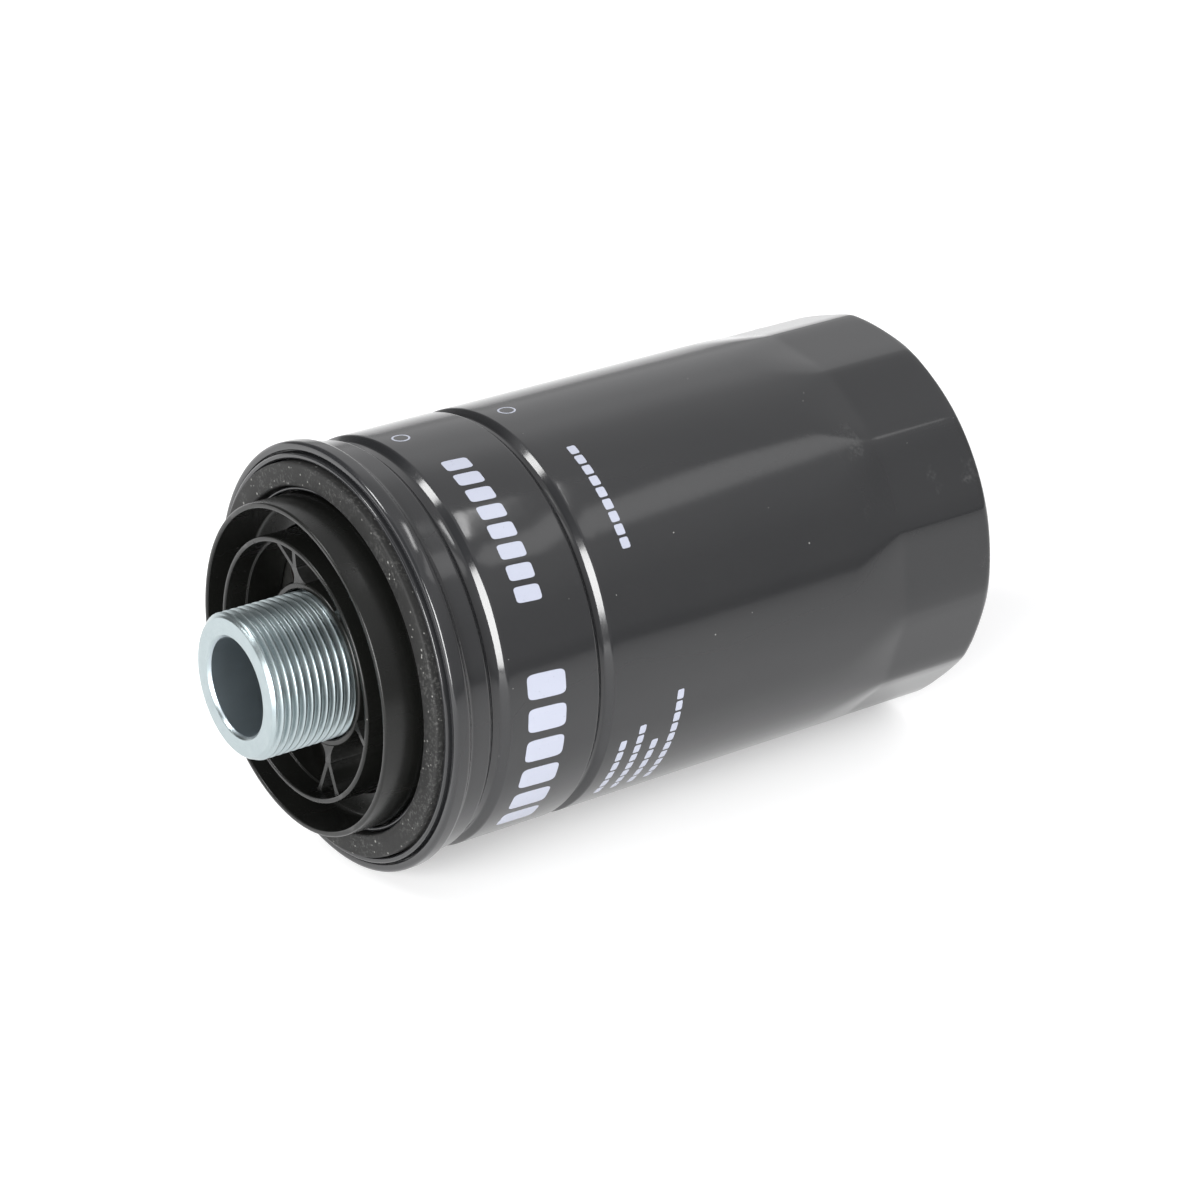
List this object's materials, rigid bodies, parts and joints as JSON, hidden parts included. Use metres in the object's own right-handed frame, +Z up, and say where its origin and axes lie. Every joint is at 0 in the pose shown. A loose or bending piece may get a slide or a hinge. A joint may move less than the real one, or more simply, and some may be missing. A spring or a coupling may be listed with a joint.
{
  "type": "spin-on oil filter",
  "caption": "Spin-on engine oil filter with a hollow male threaded nipple, moulded flow collar, face gasket, beaded black can and wrench flats.",
  "frame": {"origin": "centre of the bounding box in X and Y, at the lowest facet of the rolled seam, on which the filter lies", "axes": "+Y along the filter's axis, from the threaded nipple to the closed end; +Z up; the filter lies on its side"},
  "size_m": [0.0784, 0.142, 0.0783],
  "materials": {
    "black_paint": "gloss black stoving enamel over drawn steel, faint orange peel, dust specks",
    "seam_paint": "gloss black enamel, thinner in the pressed grooves",
    "gasket_rubber": "matt black nitrile rubber with grey bloom and dust",
    "plate_steel": "dark phosphated steel plate",
    "zinc": "bright blue-white zinc plating over a cut thread",
    "black_plastic": "satin black moulded plastic",
    "tinplate": "bright tin-plated sheet",
    "spring_steel": "oiled spring wire",
    "silicone": "orange-red silicone rubber",
    "filter_paper": "resin-cured pleated paper",
    "adhesive": "cured grey plastisol"
  },
  "bodies": {
    "casing": {"can_shell": "black_paint", "seam_cover": "seam_paint", "gasket": "gasket_rubber", "base_plate": "plate_steel", "threaded_nipple": "zinc", "outer_collar": "black_plastic", "collar_seal": "gasket_rubber", "inner_spider": "black_plastic", "drainback_retainer": "tinplate", "spring_seat": "tinplate", "retention_spring": "spring_steel"},
    "drainback": {"drainback_valve": "silicone"},
    "element": {"neck_seal": "gasket_rubber", "front_end_cap": "tinplate", "front_adhesive": "adhesive", "pleated_media": "filter_paper", "pleat_clip": "tinplate", "centre_tube": "tinplate", "rear_adhesive": "adhesive", "rear_end_cap": "tinplate", "bypass_cage": "tinplate", "bypass_seat_seal": "gasket_rubber", "bypass_spring": "spring_steel"},
    "bypass": {"bypass_poppet": "tinplate", "bypass_stem_clip": "spring_steel"}
  },
  "joints": [
    {"name": "drainback_lift", "type": "slide", "parent": "casing", "child": "drainback", "axis": [0, 1, 0], "range_m": [0, 0.0015], "stiffness_N_per_m": 300, "springref_m": -0.001},
    {"name": "element_float", "type": "slide", "parent": "casing", "child": "element", "axis": [0, 1, 0], "range_m": [0, 0.001], "stiffness_N_per_m": 9000, "springref_m": -0.004, "deforming": ["retention_spring"]},
    {"name": "bypass_open", "type": "slide", "parent": "element", "child": "bypass", "axis": [0, -1, 0], "range_m": [0, 0.003], "stiffness_N_per_m": 2500, "springref_m": -0.0006, "deforming": ["bypass_spring"]}
  ]
}
